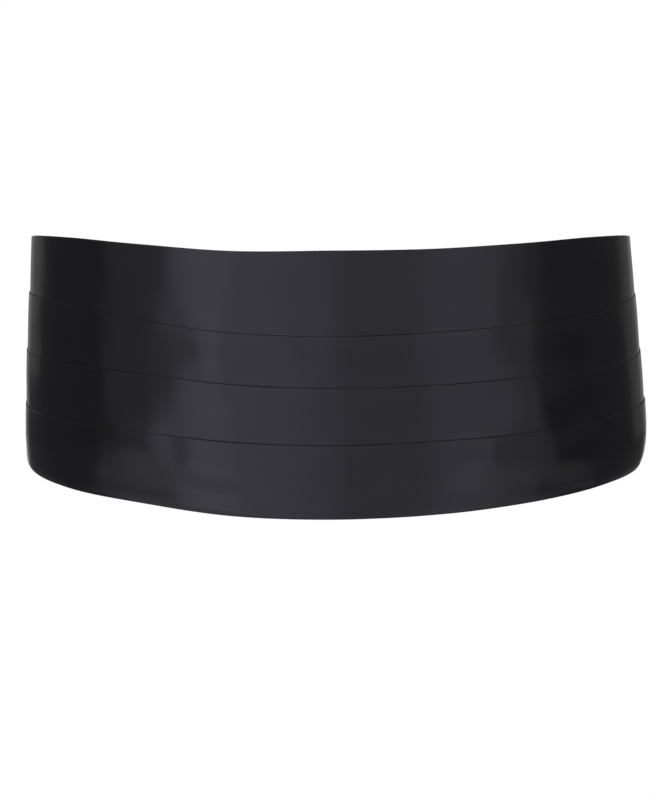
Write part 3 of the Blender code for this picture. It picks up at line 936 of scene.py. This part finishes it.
def add_strap(name, node, path, material):
    """A ribbon of elastic along a route of (distance along the waist, distance out) places."""
    line, places = smooth_path(path, STRAP_STEP)
    ring = ribbon_ring(STRAP_WIDTH, STRAP_WALL, STRAP_FLAT_POINTS, STRAP_EDGE_POINTS)
    points = ribbon_points(line, ring)
    steps = np.linalg.norm(np.diff(ring, axis=0, append=ring[:1]), axis=1)
    around = np.concatenate(([0.0], np.cumsum(steps)[:-1]))
    cloth = np.stack(np.meshgrid(places, -around, indexing="xy"), axis=-1)
    mesh = sheet_mesh(name, points, cloth, girdle=float(steps.sum()))
    piece = add_piece(name, mesh, (material,))
    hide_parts(node)


# ---------------------------------------------------------------- slide, hook and eye

def rounded_rectangle(left, right, half_height, radius):
    """Corner arcs of a rectangle, anticlockwise."""
    centres = (
        (right - radius, half_height - radius, 0.0),
        (left + radius, half_height - radius, 0.5 * math.pi),
        (left + radius, radius - half_height, math.pi),
        (right - radius, radius - half_height, 1.5 * math.pi),
    )
    points = []
    for x, y, start in centres:
        for angle in np.linspace(start, start + 0.5 * math.pi, CORNER_POINTS):
            points.append((x + radius * math.cos(angle), y + radius * math.sin(angle)))
    return points


def stamped_plate(name, girth, number, outline, windows):
    """A flat stamped piece with windows, tangent to the waist in the numbered layer."""
    curve = bpy.data.curves.new(name, "CURVE")
    curve.dimensions = "2D"
    curve.fill_mode = "BOTH"
    curve.extrude = WALL / 2.0
    for points in (outline, *windows):
        spline = curve.splines.new("POLY")
        spline.points.add(len(points) - 1)
        for spline_point, (x, y) in zip(spline.points, points):
            spline_point.co = (x, y, 0.0, 1.0)
        spline.use_cyclic_u = True
    flat = bpy.data.objects.new(name, curve)
    point, onward, outward = (Vector(part) for part in waist_frame(girth, 0.0))
    centre = point + layer(number) * outward
    top = Vector(on_waist(girth, PLATE_HEIGHT / 2.0, layer(number)))
    upward = (top - centre).normalized()
    axes = Matrix((onward, upward, onward.cross(upward))).transposed()
    mesh = mesh_made_by(flat)
    mesh.transform(Matrix.Translation(centre) @ axes.to_4x4())
    face_outwards(mesh, METAL_MERGE)
    mesh.name = name
    return mesh


def add_metal(name, mesh, material, node):
    """A metal piece with its edges rounded over."""
    mesh.materials.clear()
    piece = add_piece(name, mesh, (material,))
    rounding = piece.modifiers.new("rounded_edges", "BEVEL")
    rounding.width = METAL_ROUNDING
    rounding.segments = METAL_ROUNDING_STEPS
    rounding.limit_method = "ANGLE"
    rounding.angle_limit = math.radians(METAL_EDGE)
    rounding.harden_normals = True
    mesh.shade_smooth()
    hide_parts(node)


def add_slide(material):
    """Three bars and two windows: the strap runs behind the outer bars and over the middle one."""
    reach = SLIDE_PITCH + BAR / 2.0
    outline = rounded_rectangle(-reach, reach, PLATE_HEIGHT / 2.0, CORNER)
    inner = BAR / 2.0
    outer = SLIDE_PITCH - BAR / 2.0
    windows = [
        rounded_rectangle(-outer, -inner, WINDOW_HEIGHT / 2.0, WINDOW_CORNER),
        rounded_rectangle(inner, outer, WINDOW_HEIGHT / 2.0, WINDOW_CORNER),
    ]
    mesh = stamped_plate("slide_buckle", SLIDE_AT, 2, outline, windows)
    add_metal("slide_buckle", mesh, material, "slide")


def add_eye(material):
    """A ring with two bars: one for its strap and one for the hook."""
    middle = EYE_STRAP_BAR - EYE_PITCH / 2.0
    reach = EYE_PITCH / 2.0 + BAR / 2.0
    inner = EYE_PITCH / 2.0 - BAR / 2.0
    outline = rounded_rectangle(-reach, reach, PLATE_HEIGHT / 2.0, CORNER)
    window = rounded_rectangle(-inner, inner, WINDOW_HEIGHT / 2.0, WINDOW_CORNER)
    mesh = stamped_plate("fastening_eye", middle, 1, outline, [window])
    add_metal("fastening_eye", mesh, material, "clasp_eye")


def add_hook(material):
    """A plate with a window for its strap, and a tongue that folds round the eye's bar."""
    eye_bar = GIRTH + EYE_STRAP_BAR - EYE_PITCH
    plate_end = eye_bar - HOOK_REACH
    half = HOOK_PLATE / 2.0
    outline = rounded_rectangle(-half, half, PLATE_HEIGHT / 2.0, CORNER)
    window_start = BAR - half
    window = rounded_rectangle(window_start, window_start + HOOK_WINDOW, WINDOW_HEIGHT / 2.0,
                               WINDOW_CORNER)
    mesh = stamped_plate("fastening_hook", plate_end - half, 2, outline, [window])
    path = [(plate_end - TONGUE_ROOT, layer(2))]
    path += turn_round_bar(eye_bar, 1, 1)
    path.append((eye_bar - TONGUE_RETURN, layer(0)))
    line, places = smooth_path(path, TONGUE_STEP)
    half_width = TONGUE_WIDTH / 2.0
    ring = np.array([(half_width, WALL / 2.0), (-half_width, WALL / 2.0),
                     (-half_width, -WALL / 2.0), (half_width, -WALL / 2.0)])
    cloth = np.zeros((4, len(places), 2))
    tongue_mesh = sheet_mesh("tongue", ribbon_points(line, ring), cloth, girdle=1.0)
    tongue = bpy.data.objects.new("tongue", tongue_mesh)
    plate = bpy.data.objects.new("plate", mesh)
    join = plate.modifiers.new("join", "BOOLEAN")
    join.operation = "UNION"
    join.object = tongue
    joined = mesh_made_by(plate, tongue)
    joined.name = "fastening_hook"
    add_metal("fastening_hook", joined, material, "clasp_hook")


# ---------------------------------------------------------------- materials

def make_group(name, inputs, outputs):
    """An empty shader group, with where its values come in and where they leave."""
    group = bpy.data.node_groups.new(name, "ShaderNodeTree")
    for label, kind, value in inputs:
        socket = group.interface.new_socket(label, in_out="INPUT", socket_type=kind)
        if value is not None:
            socket.default_value = value
    for label, kind in outputs:
        group.interface.new_socket(label, in_out="OUTPUT", socket_type=kind)
    entry = group.nodes.new("NodeGroupInput")
    leave = group.nodes.new("NodeGroupOutput")
    return group, entry, leave


def math_node(tree, operation, *values):
    """A sum on numbers and on other nodes' outputs."""
    node = tree.nodes.new("ShaderNodeMath")
    node.operation = operation
    for socket, value in zip(node.inputs, values):
        if isinstance(value, (int, float)):
            socket.default_value = value
        else:
            tree.links.new(value, socket)
    return node.outputs[0]


def noise_node(tree, place, scale, detail):
    """A soft noise over places."""
    node = tree.nodes.new("ShaderNodeTexNoise")
    node.inputs["Scale"].default_value = scale
    node.inputs["Detail"].default_value = detail
    tree.links.new(place, node.inputs["Vector"])
    return node.outputs["Fac"]


def yarn_group():
    """Fine uneven yarns that run along the cloth, and a slow mottle over them."""
    group, entry, leave = make_group(
        "yarns",
        (("Place", "NodeSocketVector", None), ("Yarn Length", "NodeSocketFloat", 0.02),
         ("Yarn Width", "NodeSocketFloat", 0.0005), ("Mottle Size", "NodeSocketFloat", 0.03)),
        (("Yarn", "NodeSocketFloat"), ("Mottle", "NodeSocketFloat")),
    )
    split = group.nodes.new("ShaderNodeSeparateXYZ")
    group.links.new(entry.outputs["Place"], split.inputs[0])
    stretched = group.nodes.new("ShaderNodeCombineXYZ")
    along = math_node(group, "DIVIDE", split.outputs[0], entry.outputs["Yarn Length"])
    across = math_node(group, "DIVIDE", split.outputs[1], entry.outputs["Yarn Width"])
    group.links.new(along, stretched.inputs[0])
    group.links.new(across, stretched.inputs[1])
    yarn = noise_node(group, stretched.outputs[0], 1.0, 2.0)
    group.links.new(yarn, leave.inputs["Yarn"])
    wide = group.nodes.new("ShaderNodeVectorMath")
    wide.operation = "DIVIDE"
    group.links.new(entry.outputs["Place"], wide.inputs[0])
    sizes = group.nodes.new("ShaderNodeCombineXYZ")
    for socket in sizes.inputs:
        group.links.new(entry.outputs["Mottle Size"], socket)
    group.links.new(sizes.outputs[0], wide.inputs[1])
    mottle = noise_node(group, wide.outputs[0], 1.0, 3.0)
    group.links.new(mottle, leave.inputs["Mottle"])
    return group


def between(tree, mask, ends, start=0.3, stop=0.7):
    """A value or colour from its first end to its second, as the mask goes from start to stop.

    Left out, start and stop are about as low and as high as a noise goes.
    """
    node = tree.nodes.new("ShaderNodeValToRGB")
    for element, place, value in zip(node.color_ramp.elements, (start, stop), ends):
        element.position = place
        element.color = (*value, 1.0) if isinstance(value, tuple) else (value, value, value, 1.0)
    tree.links.new(mask, node.inputs["Fac"])
    return node.outputs["Color"]


def new_material(name):
    """A material with its nodes and its one shader."""
    material = bpy.data.materials.new(name)
    material.use_nodes = True
    tree = material.node_tree
    return material, tree, tree.nodes["Principled BSDF"]


def cloth_place(tree):
    """Places on the flat cloth, in metres."""
    node = tree.nodes.new("ShaderNodeUVMap")
    node.uv_map = "cloth"
    return node.outputs["UV"]


def group_node(tree, group, place, values=()):
    """A shader group in a material, fed with places on the piece and with its own values."""
    node = tree.nodes.new("ShaderNodeGroup")
    node.node_tree = group
    tree.links.new(place, node.inputs["Place"])
    for label, value in dict(values).items():
        node.inputs[label].default_value = value
    return node


def dress(tree, shader, colour, roughness, height, relief):
    """Gives a material its colour, its roughness and a relief that is so many metres deep."""
    tree.links.new(colour, shader.inputs["Base Color"])
    tree.links.new(roughness, shader.inputs["Roughness"])
    bump = tree.nodes.new("ShaderNodeBump")
    bump.inputs["Distance"].default_value = relief
    tree.links.new(height, bump.inputs["Height"])
    tree.links.new(bump.outputs["Normal"], shader.inputs["Normal"])


def satin_material(name, yarns, colours, roughnesses, relief):
    """One side of the satin, with its fine yarns."""
    material, tree, shader = new_material(name)
    weave = group_node(tree, yarns, cloth_place(tree))
    colour = between(tree, weave.outputs["Yarn"], colours)
    roughness = between(tree, weave.outputs["Mottle"], roughnesses)
    dress(tree, shader, colour, roughness, weave.outputs["Yarn"], relief)
    return material


def rib_group():
    """Woven elastic: ribs that run along the strap, with the weft's small steps over them."""
    group, entry, leave = make_group(
        "elastic_ribs",
        (("Place", "NodeSocketVector", None), ("Rib Pitch", "NodeSocketFloat", 0.0012),
         ("Weft Pitch", "NodeSocketFloat", 0.0007)),
        (("Height", "NodeSocketFloat"), ("Groove", "NodeSocketFloat")),
    )
    split = group.nodes.new("ShaderNodeSeparateXYZ")
    group.links.new(entry.outputs["Place"], split.inputs[0])
    rib = math_node(group, "DIVIDE", split.outputs[1], entry.outputs["Rib Pitch"])
    weft = math_node(group, "DIVIDE", split.outputs[0], entry.outputs["Weft Pitch"])
    stagger = math_node(group, "MULTIPLY", math_node(group, "FLOOR", rib), 0.5)
    weft = math_node(group, "MULTIPLY", math_node(group, "ADD", weft, stagger), 2.0 * math.pi)
    swell = math_node(group, "SINE", math_node(group, "MULTIPLY", rib, math.pi))
    crown = math_node(group, "POWER", math_node(group, "ABSOLUTE", swell), RIB_POWER)
    wave = math_node(group, "SINE", weft)
    step = math_node(group, "MULTIPLY_ADD", wave, WEFT_STEP, 1.0 - WEFT_STEP)
    group.links.new(math_node(group, "MULTIPLY", crown, step), leave.inputs["Height"])
    # the ribs' crowns, 0 down the grooves, which the elastic's colour uses to paint shade there
    group.links.new(crown, leave.inputs["Groove"])
    return group


def webbing_material(name, yarns):
    """Matt woven elastic, with painted shade darkening the grooves between its ribs."""
    material, tree, shader = new_material(name)
    place = cloth_place(tree)
    ribs = group_node(tree, rib_group(), place)
    fibres = group_node(tree, yarns, place, ELASTIC_YARN)
    # painted shade: the colour darkens down the grooves between the ribs, and the yarns vary its tone
    shade = math_node(tree, "MULTIPLY", ribs.outputs["Groove"], fibres.outputs["Yarn"])
    colour = between(tree, shade, ELASTIC_COLOURS, 0.0, 0.6)
    roughness = between(tree, fibres.outputs["Mottle"], ELASTIC_ROUGHNESS)
    height = math_node(tree, "MULTIPLY_ADD", fibres.outputs["Yarn"], ELASTIC_YARN_RELIEF,
                       ribs.outputs["Height"])
    dress(tree, shader, colour, roughness, height, ELASTIC_RELIEF)
    return material


def metal_material(name):
    """Stamped and plated metal, worn a little brighter along its edges."""
    material, tree, shader = new_material(name)
    shader.inputs["Metallic"].default_value = 1.0
    place = tree.nodes.new("ShaderNodeTexCoord").outputs["Object"]
    brushed = noise_node(tree, place, METAL_BRUSH, 3.0)
    patches = noise_node(tree, place, METAL_PATCH, 2.0)
    edge = tree.nodes.new("ShaderNodeNewGeometry").outputs["Pointiness"]
    worn_edge = between(tree, edge, (0.0, 1.0), *WORN_EDGE)
    worn_patch = between(tree, patches, METAL_PATCH_WEAR, 0.35, 0.65)
    worn = math_node(tree, "MULTIPLY", worn_edge, worn_patch)
    colour = between(tree, worn, METAL_COLOURS, 0.0, 1.0)
    roughness = between(tree, brushed, METAL_ROUGHNESS)
    dress(tree, shader, colour, roughness, brushed, METAL_RELIEF)
    return material


def thread_material(name, yarns):
    """Sewing thread with a little lustre."""
    material, tree, shader = new_material(name)
    place = tree.nodes.new("ShaderNodeTexCoord").outputs["Object"]
    twist = group_node(tree, yarns, place, THREAD_YARN)
    colour = between(tree, twist.outputs["Yarn"], THREAD_COLOURS)
    roughness = between(tree, twist.outputs["Mottle"], THREAD_ROUGHNESS)
    dress(tree, shader, colour, roughness, twist.outputs["Yarn"], THREAD_RELIEF)
    return material


# ---------------------------------------------------------------- studio

def add_soft_light(name, width, height, place, facing, radiance, colour):
    """An even rectangle of light that the camera doesn't see."""
    light = bpy.data.lights.new(name, "AREA")
    light.shape = "RECTANGLE"
    light.size = width
    light.size_y = height
    light.color = colour
    light.energy = radiance * RADIANCE_TO_POWER * width * height
    lamp = bpy.data.objects.new(name, light)
    lamp.location = place
    lamp.rotation_euler = Vector(facing).to_track_quat("-Z", "Y").to_euler()
    lamp.visible_camera = False
    bpy.context.scene.collection.objects.link(lamp)


def add_studio():
    """Tall lights round the object, softboxes above it and boards below it."""
    for tall in rows_of(STUDIO_COLUMNS, STUDIO):
        middle = math.radians((tall["from_azimuth"] + tall["to_azimuth"]) / 2.0)
        half = math.radians((tall["to_azimuth"] - tall["from_azimuth"]) / 2.0)
        width = 2.0 * LIGHT_DISTANCE * math.tan(half)
        away = Vector((math.sin(middle), -math.cos(middle), 0.0))
        place = LIGHT_DISTANCE * away
        place.z = (tall["lowest"] + tall["highest"]) / 2.0
        add_soft_light(tall["name"], width, tall["highest"] - tall["lowest"], place, -away,
                       tall["radiance"], tall["colour"])
    for box in rows_of(SOFTBOX_COLUMNS, SOFTBOXES):
        place = Vector(box["place"])
        add_soft_light(box["name"], box["width"], box["height"], place, -place,
                       box["radiance"], WHITE)
    for board in rows_of(BOARD_COLUMNS, BOARDS):
        width = board["to_x"] - board["from_x"]
        depth = board["to_y"] - board["from_y"]
        place = (board["from_x"] + width / 2.0, board["from_y"] + depth / 2.0, BOARD_HEIGHT)
        add_soft_light(board["name"], width, depth, place, (0.0, 0.0, 1.0), board["radiance"],
                       BOARD_COLOUR)


def white_to_camera(tree, shader, leave):
    """What the camera sees directly is plain white; everything else meets the given shader."""
    white = tree.nodes.new("ShaderNodeBackground" if leave == "World" else "ShaderNodeEmission")
    white.inputs["Color"].default_value = (1.0, 1.0, 1.0, 1.0)
    white.inputs["Strength"].default_value = PLAIN_WHITE
    seen = tree.nodes.new("ShaderNodeLightPath")
    mix = tree.nodes.new("ShaderNodeMixShader")
    output = tree.nodes.new(f"ShaderNodeOutput{leave}")
    tree.links.new(seen.outputs["Is Camera Ray"], mix.inputs[0])
    tree.links.new(shader, mix.inputs[1])
    tree.links.new(white.outputs[0], mix.inputs[2])
    tree.links.new(mix.outputs[0], output.inputs["Surface"])


def add_world():
    """Even light from all round."""
    world = bpy.data.worlds.new("studio")
    bpy.context.scene.world = world
    world.use_nodes = True
    tree = world.node_tree
    tree.nodes.clear()
    dim = tree.nodes.new("ShaderNodeBackground")
    dim.inputs["Color"].default_value = (AMBIENT, AMBIENT, AMBIENT, 1.0)
    white_to_camera(tree, dim.outputs[0], "World")


def add_floor():
    """A floor well below the object: plain white to the camera, and grey to what shines."""
    mesh = bpy.data.meshes.new("floor")
    reach = FLOOR_REACH
    corners = [(-reach, -reach, FLOOR), (reach, -reach, FLOOR),
               (reach, reach, FLOOR), (-reach, reach, FLOOR)]
    mesh.from_pydata(corners, [], [(0, 1, 2, 3)])
    floor = bpy.data.objects.new("floor", mesh)
    bpy.context.scene.collection.objects.link(floor)
    material = bpy.data.materials.new("pale_floor")
    material.use_nodes = True
    tree = material.node_tree
    tree.nodes.clear()
    matt = tree.nodes.new("ShaderNodeBsdfDiffuse")
    matt.inputs["Color"].default_value = (FLOOR_SHADE, FLOOR_SHADE, FLOOR_SHADE, 1.0)
    white_to_camera(tree, matt.outputs[0], "Material")
    mesh.materials.append(material)


def add_camera():
    """The view of the front, from a little above it."""
    camera = bpy.data.cameras.new("camera")
    camera.lens = CAMERA_LENS
    camera.sensor_width = CAMERA_SENSOR
    camera.shift_x, camera.shift_y = CAMERA_SHIFT
    viewer = bpy.data.objects.new("camera", camera)
    elevation = math.radians(CAMERA_ELEVATION)
    away = Vector((0.0, -math.cos(elevation), math.sin(elevation)))
    viewer.location = CAMERA_DISTANCE * away
    viewer.rotation_euler = away.to_track_quat("Z", "Y").to_euler()
    bpy.context.scene.collection.objects.link(viewer)
    bpy.context.scene.camera = viewer


def main():
    """All materials, pieces and lights."""
    yarns = yarn_group()
    satin = satin_material("black_satin", yarns, SATIN_COLOURS, SATIN_ROUGHNESS, SATIN_RELIEF)
    reverse = satin_material("satin_reverse", yarns, REVERSE_COLOURS, REVERSE_ROUGHNESS,
                             REVERSE_RELIEF)
    webbing = webbing_material("black_elastic", yarns)
    nickel = metal_material("black_nickel")
    thread = thread_material("black_thread", yarns)
    add_front((satin, reverse))
    add_binding("satin_binding_left", "end_binding_left", 1, (satin,))
    add_binding("satin_binding_right", "end_binding_right", -1, (satin,))
    add_strap("elastic_hook_strap", "hook_strap", hook_strap_path(), webbing)
    add_strap("elastic_eye_strap", "eye_strap", eye_strap_path(), webbing)
    add_slide(nickel)
    add_eye(nickel)
    add_hook(nickel)
    sew_binding("binding_thread_left", 1, thread)
    sew_binding("binding_thread_right", -1, thread)
    sew_strap_end("strap_thread_left", 1, thread)
    sew_strap_end("strap_thread_right", -1, thread)
    sew_eye_strap_tack("eye_strap_tack", thread)
    add_floor()
    add_studio()
    add_world()
    add_camera()
    bpy.context.scene.view_settings.view_transform = "Standard"


main()
